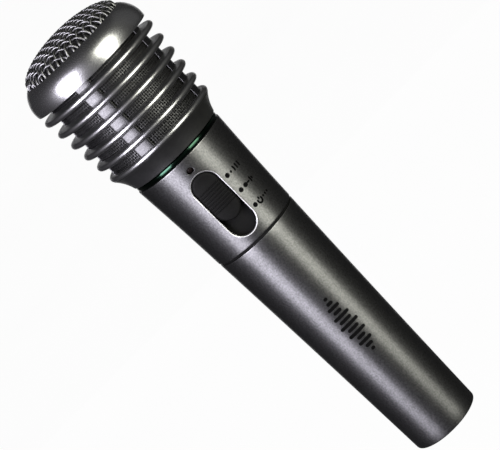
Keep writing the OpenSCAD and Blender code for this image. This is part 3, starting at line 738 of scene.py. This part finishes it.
class Shell:
    """The housing's wall: a grid of columns round it and rows up it, on both of its faces.
    Turn is the width of one column in degrees."""

    columns = range(-SEGMENTS // 2, SEGMENTS // 2)
    turn = 360 / SEGMENTS

    def __init__(self):
        first = housing_low.z + SOFT_EDGE
        last = housing_high.z - SOFT_EDGE
        self.rows = round((last - first) / HOUSING_ROW_H)
        self.levels = steps(first, last, self.rows)
        self.verts = []
        self.faces = []
        self.index = {}

    def row_at(self, z):
        """The row nearest to a height."""
        return round((z - self.levels[0]) / (self.levels[1] - self.levels[0]))

    def wrapped(self, column):
        """The same column, counted within one turn round the wall."""
        return (column + SEGMENTS // 2) % SEGMENTS - SEGMENTS // 2

    def vertex(self, key, azimuth, z, depth):
        """The vertex with this key, made on first use at a depth under the outer face."""
        if key not in self.index:
            self.index[key] = len(self.verts)
            self.verts.append(at(azimuth, housing_r(z) - depth, z))
        return self.index[key]

    def skin(self, column, row, depth):
        """The vertex at a grid point of one face of the wall."""
        column = self.wrapped(column)
        return self.vertex((column, row, depth), column * self.turn, self.levels[row], depth)

    def add_faces(self, windows):
        """Both faces of the wall, without the patches of the windows."""
        for depth in (0, HOUSING_WALL):
            for row in range(self.rows):
                for column in self.columns:
                    if any(w.holds(column, row) for w in windows):
                        continue
                    corners = [(column, row), (column + 1, row)]
                    corners += [(column + 1, row + 1), (column, row + 1)]
                    self.faces.append([self.skin(i, j, depth) for i, j in corners])

    def add_end(self, row, end, sign):
        """The rounded edge and the flat rim at one end of the tube."""
        rounding = [
            (end - sign * SOFT_EDGE * (1 - math.sin(t)), SOFT_EDGE * (1 - math.cos(t)))
            for t in steps(0, math.pi / 2, 4)[1:]
        ]
        rounding.append((end, HOUSING_WALL))
        for column in self.columns:
            before = [self.skin(column, row, 0), self.skin(column + 1, row, 0)]
            for n, (z, depth) in enumerate(rounding):
                after = []
                for i in (self.wrapped(column), self.wrapped(column + 1)):
                    after.append(self.vertex(("end", sign, i, n), i * self.turn, z, depth))
                self.faces.append([before[0], before[1], after[1], after[0]])
                before = after
            inside = [self.skin(i, row, HOUSING_WALL) for i in (column + 1, column)]
            self.faces.append(before + inside)

    def add_window(self, number, window):
        """The patch of wall round an opening, its rounded rim and its inner edge."""
        edge = window.bevel
        lip = 0.1
        route = [(share, edge, 0) for share in steps(0, 1, 6)[1:]]
        for t in steps(0, math.pi / 2, 5)[1:]:
            route.append((1, edge * (1 - math.sin(t)), edge * (1 - math.cos(t))))
        route += [(1, 0, HOUSING_WALL - lip), (1, lip, HOUSING_WALL), (0.6, lip, HOUSING_WALL)]
        lines = []
        for k, (column, row) in enumerate(window.rim()):
            azimuth = column * self.turn
            z = self.levels[row]
            across = math.radians(azimuth) * housing_r(z)
            line = [self.skin(column, row, 0)]
            for n, (share, grow, depth) in enumerate(route):
                x, edge_z = window.outline(across, z, grow)
                edge_azimuth = math.degrees(math.asin(x / (housing_r(edge_z) - depth)))
                spot_azimuth = azimuth + (edge_azimuth - azimuth) * share
                spot_z = z + (edge_z - z) * share
                line.append(self.vertex(("window", number, k, n), spot_azimuth, spot_z, depth))
            line.append(self.skin(column, row, HOUSING_WALL))
            lines.append(line)
        for k, line in enumerate(lines):
            after = lines[(k + 1) % len(lines)]
            for n in range(len(line) - 1):
                self.faces.append([line[n], after[n], after[n + 1], line[n + 1]])


def make_housing():
    """The switch housing: a tapered tube whose slot and lamp hole have rounded rims."""
    shell = Shell()
    slot_z = (knob_high.z - SLOT_LEN / 2) + (SLOT_LEN - KNOB_LEN - KNOB_TRAVEL) / 2
    lamp_z = (lamp_low.z + lamp_high.z) / 2
    slot_rows = [shell.row_at(slot_z + s * (SLOT_LEN / 2 + SLOT_MARGIN)) for s in (-1, 1)]
    lamp_rows = [slot_rows[1], shell.row_at(lamp_z + LAMP_MARGIN)]
    slot = Window(slot_z, SLOT_W / 2, SLOT_LEN / 2, SLOT_COLUMNS, slot_rows, SLOT_BEVEL)
    lamp = Window(lamp_z, LAMP_HOLE_R, LAMP_HOLE_R, LAMP_COLUMNS, lamp_rows, LAMP_BEVEL)
    shell.add_faces([slot, lamp])
    shell.add_end(0, housing_low.z, -1)
    shell.add_end(shell.rows, housing_high.z, 1)
    shell.add_window(0, slot)
    shell.add_window(1, lamp)
    build = Build()
    build.add(shell.verts, shell.faces)

    # The rim's faces take the lighter finish, a painted highlight line round the slot.
    def on_rim(point):
        depth = housing_r(point.z) - math.hypot(point.x, point.y)
        return slot.near(point, SLOT_BEVEL * 0.98) and depth < HOUSING_WALL / 2

    build.piece("housing", "handle", "handle_lacquer", ["upper_housing"], trim=("slot_rim_highlight", on_rim))


def knob_rises(straight, half_w, grooves):
    """Heights of the knob's rows of points, close together at the grooves and the ends."""
    rises = [-straight, straight]
    for g in grooves:
        rises += [g + s * (RIB_HALF + o) for s in (-1, 1) for o in (-RIB_RAMP, 0, RIB_RAMP)]
        rises += [g, g + RIB_PITCH / 2]
    for sign in (-1, 1):
        rises += [sign * (straight + half_w * math.sin(t)) for t in steps(0, math.pi / 2, 14)[1:]]
    return sorted(set(round(r, 4) for r in rises))


def knob_front(centre_z, straight, half_w, crown_r):
    """The knob's crowned front, as rows of points from side to side."""
    grooves = [(i - (RIB_COUNT - 1) / 2) * RIB_PITCH - RIB_DROP for i in range(RIB_COUNT)]
    columns = [math.sin(t) for t in steps(-math.pi / 2, math.pi / 2, 28)]

    def groove_depth(rise):
        gap = min(abs(rise - g) for g in grooves) - RIB_HALF
        return RIB_DEPTH * max(0.0, min(1.0, 0.5 - gap / RIB_RAMP / 2))

    front = []
    for rise in knob_rises(straight, half_w, grooves):
        past = max(0.0, abs(rise) - straight)
        wide = math.sqrt(max(0.0, half_w ** 2 - past ** 2))
        row = []
        for share in columns:
            x = wide * share
            inset = half_w - math.hypot(x, past)
            drop = KNOB_EDGE - math.sqrt(
                max(0.0, KNOB_EDGE ** 2 - max(0.0, KNOB_EDGE - inset) ** 2)
            )
            y = -math.sqrt(crown_r ** 2 - x ** 2) + drop + groove_depth(rise)
            row.append(Vector((x, y, centre_z + rise)))
        front.append(row)
    return front


def make_knob():
    """The switch knob: a crowned stadium with finger grooves across it."""
    half_w = (knob_high.x - knob_low.x) / 2
    straight = (knob_high.z - knob_low.z) / 2 - half_w
    front = knob_front((knob_low.z + knob_high.z) / 2, straight, half_w, -knob_low.y)
    wide = len(front[0])
    last = len(front) - 1
    verts = [point for row in front for point in row]
    faces = []
    for i in range(last):
        for j in range(wide - 1):
            a = i * wide + j
            faces.append((a, a + 1, a + wide + 1, a + wide))
    border = list(range(wide))
    border += [i * wide + wide - 1 for i in range(1, last + 1)]
    border += [last * wide + j for j in range(wide - 2, -1, -1)]
    border += [i * wide for i in range(last - 1, 0, -1)]
    first = len(verts)
    count = len(border)
    verts += [Vector((verts[b].x, knob_high.y, verts[b].z)) for b in border]
    for k in range(count):
        n = (k + 1) % count
        faces.append((border[k], border[n], first + n, first + k))
    faces.append(tuple(first + k for k in range(count)))
    build = Build()
    build.add(verts, faces)
    build.piece("knob", "switch", "black_gloss", ["switch_knob"], 50, "switch_black")


# ---- Head ----


def make_collar():
    """The neck collar: a bell from the accent ring up to a rounded flange, threaded inside."""
    low = collar_low.z
    top = collar_high.z
    start = 180 - math.degrees(math.asin((low - BELL_CENTRE[1]) / BELL_R))
    end = 180 - math.degrees(math.asin((BELL_TOP_Z - BELL_CENTRE[1]) / BELL_R))
    bell = arc(BELL_CENTRE, BELL_R, start, end, 20)
    tip = arc((outer_r("neck_collar") - RING_T / 2, FLANGE_Z), RING_T / 2, -45, 90, 10)
    seat = [
        (SEAT_OUT, top, 0), (SEAT_OUT, SEAT_Z, 0), (SEAT_IN, SEAT_Z, 0), (SEAT_IN, top, 0.2),
        (COLLAR_ROOT_R, top, 0.3),
    ]
    bore = []
    for i in range(COLLAR_RIDGES):
        z = COLLAR_THREAD_Z - THREAD_PITCH * i
        bore += [
            (COLLAR_ROOT_R, z + COLLAR_FOOT, 0), (COLLAR_CREST_R, z + THREAD_TIP, 0),
            (COLLAR_CREST_R, z - THREAD_TIP, 0), (COLLAR_ROOT_R, z - COLLAR_FOOT, 0),
        ]
    outer = [(r, z, 0) for r, z in bell + tip]
    outer[0] = (*bell[0], 0.3)
    build = Build()
    build.lathe(soft(outer + seat + bore + [(COLLAR_ROOT_R, low, 0.25)]))

    def on_flange(point):
        return point.z > FLANGE_Z - 0.6 and math.hypot(point.x, point.y) > FLANGE_IN

    build.piece(
        "collar", "head", "grille_lacquer", ["neck_collar"],
        finish="collar_satin", trim=("grille_lacquer", on_flange)
    )


def post_section():
    """A post's cross-section as (azimuth, radius), with its outer edges rounded."""
    half = math.degrees(POST_W / 2 / ((POST_IN + POST_OUT) / 2))
    inset = 0.6
    chamfer = 0.17
    points = [(a, POST_OUT) for a in steps(-half + inset, half - inset, 10)]
    points += [(half - chamfer, POST_OUT - POST_EDGE / 3), (half, POST_OUT - POST_EDGE)]
    points += [(half, POST_IN)]
    points += [(a, POST_IN) for a in steps(half - inset, -half + inset, 6)]
    points += [(-half, POST_IN), (-half, POST_OUT - POST_EDGE)]
    points += [(-half + chamfer, POST_OUT - POST_EDGE / 3)]
    return points


def make_cage():
    """The grille cage: rounded rings on four curved posts, with a foot and a lip."""
    build = Build()
    half = RING_T / 2
    for i in range(1, RING_COUNT + 1):
        z = FLANGE_Z + RING_PITCH * i
        tip_r = outer_r("neck_collar") + RING_GROWTH * i
        tip = arc((tip_r - half, z), half, RING_TAPER - 90, 90 - RING_TAPER, 14)
        root = [(CAGE_IN, z + RING_ROOT_T / 2, 0.3), (CAGE_IN, z - RING_ROOT_T / 2, 0.3)]
        build.lathe(soft([(*p, 0) for p in tip] + root))
    for out, low, high in (
        (CAGE_FOOT_OUT, SEAT_Z, collar_high.z),
        (CAGE_LIP_OUT, CAGE_LIP_Z, cage_high.z),
    ):
        build.lathe(soft([(CAGE_IN, low), (out, low), (out, high), (CAGE_IN, high)], 0.15))
    section = post_section()
    heights = steps(POST_LOW_Z, cage_high.z - 0.4, 24)
    for n in range(POST_COUNT):
        middle = POST_AZIMUTH + 360 / POST_COUNT * n
        build.loft([[at(middle + a, r, z) for a, r in section] for z in heights])

    # The posts' faces take the darker copy of the lacquer, painted shade on their reflections.
    def on_post(point):
        return math.hypot(point.x, point.y) < POST_OUT + 0.02 and point.z < cage_high.z - 2

    build.piece("cage", "head", "grille_lacquer", ["grille_cage"], trim=("post_shaded_lacquer", on_post))


def make_band():
    """The glossy band round the dome: a full round shoulder over the cage's lip."""
    low = span("dome_band")[0].z
    centre = BAND_ARC_CENTRE
    start = math.degrees(math.asin((low - centre[1]) / BAND_ARC_R))
    end = math.degrees(math.acos((BAND_TOP_R - centre[0]) / BAND_ARC_R))
    shoulder = [(r, z, 0) for r, z in arc(centre, BAND_ARC_R, start, end, 40)]
    shoulder[0] = (shoulder[0][0], shoulder[0][1], 0.5)
    shoulder[-1] = (shoulder[-1][0], shoulder[-1][1], 0.08)
    inner = [
        (BAND_IN, shoulder[-1][1], 0.05), (BAND_IN, BAND_STEP_Z, 0),
        (BAND_STEP_R, BAND_STEP_Z, 0), (BAND_STEP_R, low, 0.2),
    ]
    build = Build()
    build.lathe(soft(shoulder + inner), 256)
    # The band takes the lighter copy of the lacquer, a painted highlight on its reflections.
    build.piece("band", "head", "grille_lacquer", ["dome_band"], finish="band_lit_lacquer")


def make_dome_mesh():
    """Square woven wire pressed into the dome, each wire over one neighbour and under the next."""
    swing = DOME_WIRE_R * 0.92
    middle_r = DOME_R - swing - DOME_WIRE_R
    middle_rise = DOME_RISE - swing - DOME_WIRE_R
    skirt = Vector((0, 0, DOME_SKIRT))
    along_a = at(DOME_AZIMUTH, 1, 0)
    along_b = at(DOME_AZIMUTH + 90, 1, 0)
    count = int(middle_r / DOME_PITCH) + 1
    build = Build()
    for sign, side, along in ((1, along_b, along_a), (-1, along_a, along_b)):
        for i in range(-count, count):
            offset = (i + 0.5) * DOME_PITCH
            if abs(offset) > middle_r - 0.5:
                continue
            reach = math.sqrt(middle_r ** 2 - offset ** 2)
            scale = reach / middle_r
            path = []
            for t in steps(-math.pi / 2, math.pi / 2, math.ceil(math.pi * reach / 0.5)):
                run = reach * math.sin(t)
                flat = side * offset + along * run
                point = flat + Vector((0, 0, DOME_BASE_Z + middle_rise * scale * math.cos(t)))
                level = (point.z - DOME_BASE_Z) / middle_rise ** 2
                out = Vector((flat.x / middle_r ** 2, flat.y / middle_r ** 2, level)).normalized()
                phase = math.pi * (run / DOME_PITCH - 0.5 + i)
                path.append(point + out * (sign * swing * math.cos(phase)))
            path.insert(0, path[0] - skirt)
            path.append(path[-1] - skirt)
            build.wire(path, side, DOME_WIRE_R, 8)
    corners = [
        (DOME_RIM_IN, DOME_RIM_LOW), (DOME_RIM_OUT, DOME_RIM_LOW),
        (DOME_RIM_OUT, DOME_RIM_HIGH), (DOME_RIM_IN, DOME_RIM_HIGH),
    ]
    build.lathe(soft(corners, 0.2))
    build.piece("dome_weave", "head", "mesh_steel", ["dome_mesh"], sharp=60)


def make_side_mesh():
    """Fine woven wire behind the rings: upright wires that pass in and out of the hoops."""
    low, high = span("side_mesh")
    middle = (SIDE_IN + outer_r("side_mesh")) / 2
    build = Build()
    levels = steps(low.z + 0.4, high.z - 0.4, SIDE_HOOPS)
    up = Vector((0, 0, 1))
    for z in levels:
        hoop = [at(360 * s / SIDE_WIRES, middle, z) for s in range(SIDE_WIRES)]
        build.wire(hoop, up, SIDE_HOOP_R, 4, closed=True)
    heights = steps(levels[0], levels[-1], SIDE_HOOPS * 2)
    for n in range(SIDE_WIRES):
        azimuth = 360 * (n + 0.5) / SIDE_WIRES
        path = []
        for k, z in enumerate(heights):
            weave = 0 if k % 2 else SIDE_SWING * (-1) ** (k // 2 + n)
            path.append(at(azimuth, middle + weave, z))
        build.wire(path, at(azimuth + 90, 1, 0), SIDE_WIRE_R, 4)
    # The side weave takes the darker steel, painted shadow of the rings.
    build.piece("side_weave", "head", "mesh_steel", ["side_mesh"], 60, "mesh_ring_shadow")


def make_foam():
    """The foam liner: a cup of open-cell foam with an uneven skin."""
    low, high = span("foam_liner")
    out_r = outer_r("foam_liner")
    base_z = DOME_BASE_Z - 1
    lip_z = low.z + FOAM_LIP
    out_rise = high.z - base_z
    in_r = out_r - FOAM_WALL
    in_rise = out_rise - FOAM_WALL
    quarter = steps(0, math.pi / 2, 22)
    outer = [(out_r, z) for z in steps(lip_z, base_z, 50)]
    outer += [(out_r * math.cos(t), base_z + out_rise * math.sin(t)) for t in quarter[1:]]
    inner = [(in_r * math.cos(t), base_z + in_rise * math.sin(t)) for t in reversed(quarter)]
    inner += [(in_r, z) for z in steps(base_z, lip_z, 20)[1:]]
    foot = arc((out_r - FOAM_WALL / 2, lip_z), FOAM_WALL / 2, -160, -20, 6)
    foot = [(r, max(low.z, lip_z + (z - lip_z) * 0.5)) for r, z in foot]
    build = Build()
    build.lathe(outer + inner + foot, 160)
    build.verts = [
        v - v.normalized() * FOAM_DENTS * (0.5 + 0.5 * noise.noise(v * 0.9)) for v in build.verts
    ]
    foam = build.piece("foam_cup", "head", "foam", ["foam_liner"], sharp=70)


def make_cloth():
    """The acoustic cloth: a thin disc stretched over the capsule, with a slight sag."""
    low, high = span("acoustic_cloth")
    radius = high.x

    def height(r):
        return -CLOTH_SAG * math.cos(math.pi / 2 * min(1.0, r / radius))

    radii = steps(0, radius, 16)
    top = [(r, high.z + height(r)) for r in reversed(radii)]
    bottom = [(r, low.z + max(0.0, CLOTH_SAG + height(r)) * 0.5) for r in radii]
    build = Build()
    build.lathe(top + bottom, 96)
    cloth = build.piece("cloth_disc", "handle", "cloth", ["acoustic_cloth"])


# ---- Marks: generic signs in the places of the printed ones ----

MARK_LIFT = 0.03
MARK_SINK = 0.06
MARK_STROKE = 0.42
DOT_R = 1.05
DOT_AZIMUTH = 24.8
ICON_AZIMUTH = 28.9
MARK_ROWS = (139.6, 131.7, 123.5)
SIGN_AZIMUTH = 4.8
SIGN_LOW_Z = 47.8
SIGN_HIGH_Z = 77.2
SIGN_STROKE = 0.72
SIGN_HALF_LENGTHS = (0.9, 1.8, 3.3, 2.1, 4.2, 2.8, 4.6, 3.0, 3.9, 2.0, 2.9, 1.5, 0.9)


def ribbon(build, path, half_w, radius_at, azimuth, centre_z):
    """A printed stroke with round ends along a path of (across, up), wrapped on a shell."""
    points = [Vector(p) for p in path]
    lengths = [0.0]
    for a, b in zip(points, points[1:]):
        lengths.append(lengths[-1] + (b - a).length)
    sections = []
    for i, p in enumerate(points):
        before = points[max(i - 1, 0)]
        after = points[min(i + 1, len(points) - 1)]
        along = (after - before).normalized()
        side = Vector((-along.y, along.x))
        inset = min(lengths[i], lengths[-1] - lengths[i], half_w)
        wide = max(0.02, math.sqrt(half_w ** 2 - (half_w - inset) ** 2))
        ring = []
        for hand, rise in ((1, MARK_LIFT), (-1, MARK_LIFT), (-1, -MARK_SINK), (1, -MARK_SINK)):
            spot = p + side * wide * hand
            z = centre_z + spot.y
            r = radius_at(z)
            ring.append(at(azimuth + math.degrees(spot.x / r), r + rise, z))
        sections.append(ring)
    build.loft(sections)


def line(start, end, half_w):
    """Points of a straight stroke, close together at its round ends."""
    a = Vector(start)
    b = Vector(end)
    length = (b - a).length
    rounding = [half_w * (1 - math.cos(t)) for t in steps(0, math.pi / 2, 4)]
    body = steps(half_w, length - half_w, max(2, math.ceil(length / 0.6)))[1:-1]
    stops = rounding + body + [length - r for r in reversed(rounding)]
    return [tuple(a.lerp(b, s / length)) for s in stops]


def draw_waves(draw):
    """On without a cord: a source and three waves."""
    draw(line((0.2, 0), (1.3, 0), 0.55), 0.55)
    for radius in (2.6, 4.2, 5.8):
        spread = math.degrees(math.asin(1.25 / radius))
        draw(arc((0.2, 0), radius, -spread, spread, 20))


def draw_plug(draw):
    """On with a cord: a ball on a stem, and a plug."""
    draw(line((0.3, 0), (2.6, 0), 0.95), 0.95)
    draw(line((2.6, 0), (4.2, 0), 0.4), 0.4)
    for run, half in ((5.0, 1.2), (6.1, 0.7)):
        draw(line((run, -half), (run, half), MARK_STROKE))


def draw_power(draw):
    """Off: a power sign and three small dots."""
    draw(arc((1.5, -0.2), 1.1, 130, 410, 22))
    draw(line((1.5, 0.2), (1.5, 1.5), MARK_STROKE))
    for run in (4.0, 5.5, 7.0):
        draw(line((run - 0.5, 0), (run + 0.5, 0), 0.5), 0.5)


def make_switch_marks():
    """Three dots beside the slot and a small picture for each position of the switch."""
    build = Build()
    for z in MARK_ROWS:
        dot = line((-DOT_R, 0), (DOT_R, 0), DOT_R)
        ribbon(build, dot, DOT_R, housing_r, DOT_AZIMUTH, z)
    for z, picture in zip(MARK_ROWS, (draw_waves, draw_plug, draw_power)):

        def draw(path, half_w=MARK_STROKE):
            ribbon(build, path, half_w, housing_r, ICON_AZIMUTH, z)

        picture(draw)
    build.piece("switch_marks", "handle", "black_gloss", finish="print_black")


def make_sleeve_mark():
    """A generic sound-wave sign where the handle is printed."""
    build = Build()
    rows = steps(SIGN_LOW_Z + SIGN_STROKE, SIGN_HIGH_Z - SIGN_STROKE, len(SIGN_HALF_LENGTHS) - 1)
    for z, half in zip(rows, SIGN_HALF_LENGTHS):
        bar = line((-half, 0), (half, 0), SIGN_STROKE)
        ribbon(build, bar, SIGN_STROKE, sleeve_r, SIGN_AZIMUTH, z)
    build.piece("sleeve_mark", "sleeve", "black_gloss", finish="print_black")


# ---- Stage, lights and camera ----

VIEW_AZIMUTH = 4.1
VIEW_ELEVATION = 11.05
VIEW_DISTANCE = 0.812
VIEW_CENTRE = Vector((0, 0, 0.1156))
VIEW_ROLL = 45
LENS = 146.19
SENSOR = 36
FLOOR_HALF = 20
FLOOR_GAP = 0.01
LIGHT_DISTANCE = 1.2


def direction(azimuth, elevation):
    """Unit vector from the microphone towards an azimuth and elevation in degrees."""
    e = math.radians(elevation)
    return at(azimuth, math.cos(e), math.sin(e))


def make_floor():
    """A plain pale floor that fills the view and lies clear of the pulled sleeve."""
    half = FLOOR_HALF
    mesh = bpy.data.meshes.new("floor")
    pull = next(j for j in frame["joints"] if j["name"] == "sleeve_pull")
    z = -pull["range_m"][1] - FLOOR_GAP
    corners = [(-half, -half, z), (half, -half, z), (half, half, z), (-half, half, z)]
    mesh.from_pydata(corners, [], [(0, 1, 2, 3)])
    floor = bpy.data.objects.new("floor", mesh)
    bpy.context.scene.collection.objects.link(floor)
    material, tree, place = start_material("floor_pale")
    cloud = mottle(tree, place, 400.0)
    colour = blend(tree, cloud, tone(0.965, 0.965, 0.965), tone(0.98, 0.98, 0.98))
    glow = put(tree, "ShaderNodeEmission", {"Color": colour, "Strength": 1.0})
    matt = put(tree, "ShaderNodeBsdfDiffuse", {"Color": tone(0.02, 0.02, 0.02)})
    both = put(tree, "ShaderNodeAddShader", {0: glow.outputs[0], 1: matt.outputs[0]})
    put(tree, "ShaderNodeOutputMaterial", {"Surface": both.outputs[0]})
    mesh.materials.append(material)
    floor.visible_glossy = False
    floor.visible_diffuse = False
    floor.visible_shadow = False


def softbox(name, azimuth, elevation, wide, tall, radiance, colour=(1.0, 1.0, 1.0)):
    """A soft light that faces the microphone and fills wide by tall degrees of its view."""
    distance = LIGHT_DISTANCE
    light = bpy.data.lights.new(name, "AREA")
    light.shape = "RECTANGLE"
    light.size = 2 * distance * math.tan(math.radians(wide / 2))
    light.size_y = 2 * distance * math.tan(math.radians(tall / 2))
    light.energy = radiance * math.pi * light.size * light.size_y
    light.color = colour
    obj = bpy.data.objects.new(name, light)
    bpy.context.scene.collection.objects.link(obj)
    towards = direction(azimuth, elevation)
    obj.matrix_world = (
        Matrix.Translation(VIEW_CENTRE + towards * distance)
        @ towards.to_track_quat("Z", "Y").to_matrix().to_4x4()
    )
    obj.visible_camera = False


def make_world():
    """A pale backdrop for the camera and a dim room for the light."""
    world = bpy.data.worlds.new("studio")
    bpy.context.scene.world = world
    world.use_nodes = True
    tree = world.node_tree
    tree.nodes.clear()
    pale = put(tree, "ShaderNodeBackground", {"Color": tone(0.97, 0.97, 0.97)})
    dim = put(tree, "ShaderNodeBackground", {"Color": tone(0.033, 0.033, 0.034)})
    seen = put(tree, "ShaderNodeLightPath").outputs["Is Camera Ray"]
    mixed = put(tree, "ShaderNodeMixShader", {0: seen, 1: dim.outputs[0], 2: pale.outputs[0]})
    put(tree, "ShaderNodeOutputWorld", {"Surface": mixed.outputs[0]})


def make_camera():
    """The camera at the photograph's angle, rolled so that the dome is at the top left."""
    data = bpy.data.cameras.new("camera")
    data.lens = LENS
    data.sensor_width = SENSOR
    camera = bpy.data.objects.new("camera", data)
    bpy.context.scene.collection.objects.link(camera)
    back = direction(VIEW_AZIMUTH, VIEW_ELEVATION)
    level = at(VIEW_AZIMUTH + 90, 1, 0)
    up = back.cross(level)
    roll = math.radians(VIEW_ROLL)
    right = level * math.cos(roll) - up * math.sin(roll)
    top = level * math.sin(roll) + up * math.cos(roll)
    turned = Matrix((right, top, back)).transposed().to_4x4()
    camera.matrix_world = Matrix.Translation(VIEW_CENTRE + back * VIEW_DISTANCE) @ turned
    bpy.context.scene.camera = camera


def make_lights():
    """Two tall softboxes, brighter at the top, and faint ones for the front and the edges."""
    for side, azimuth, wide, radiance, colour in (
        ("left", VIEW_AZIMUTH - 46, 30, 6.4, (0.93, 0.9, 1.0)),
        ("right", VIEW_AZIMUTH + 39, 28, 4.3, (1.0, 1.0, 0.88)),
    ):
        softbox("softbox_" + side, azimuth, 0.5, wide, 50, radiance, colour)
        softbox("softbox_high_" + side, azimuth, 19.5, wide, 33, radiance * 2, colour)
    softbox("softbox_front", VIEW_AZIMUTH - 2, -4, 30, 50, 0.06)
    softbox("softbox_rim", VIEW_AZIMUTH + 112, 20, 40, 50, 0.05)
    softbox("softbox_back", VIEW_AZIMUTH + 180, -6, 40, 32, 0.8)


def make_studio():
    make_floor()
    make_world()
    make_camera()
    make_lights()
    bpy.context.scene.view_settings.view_transform = "Standard"


# ---- The microphone ----

dress_cad_nodes()
make_sleeve()
make_tail_cap()
make_joint_ring()
make_accent_ring()
make_housing()
make_knob()
make_collar()
make_cage()
make_band()
make_dome_mesh()
make_side_mesh()
make_foam()
make_cloth()
make_switch_marks()
make_sleeve_mark()
make_studio()
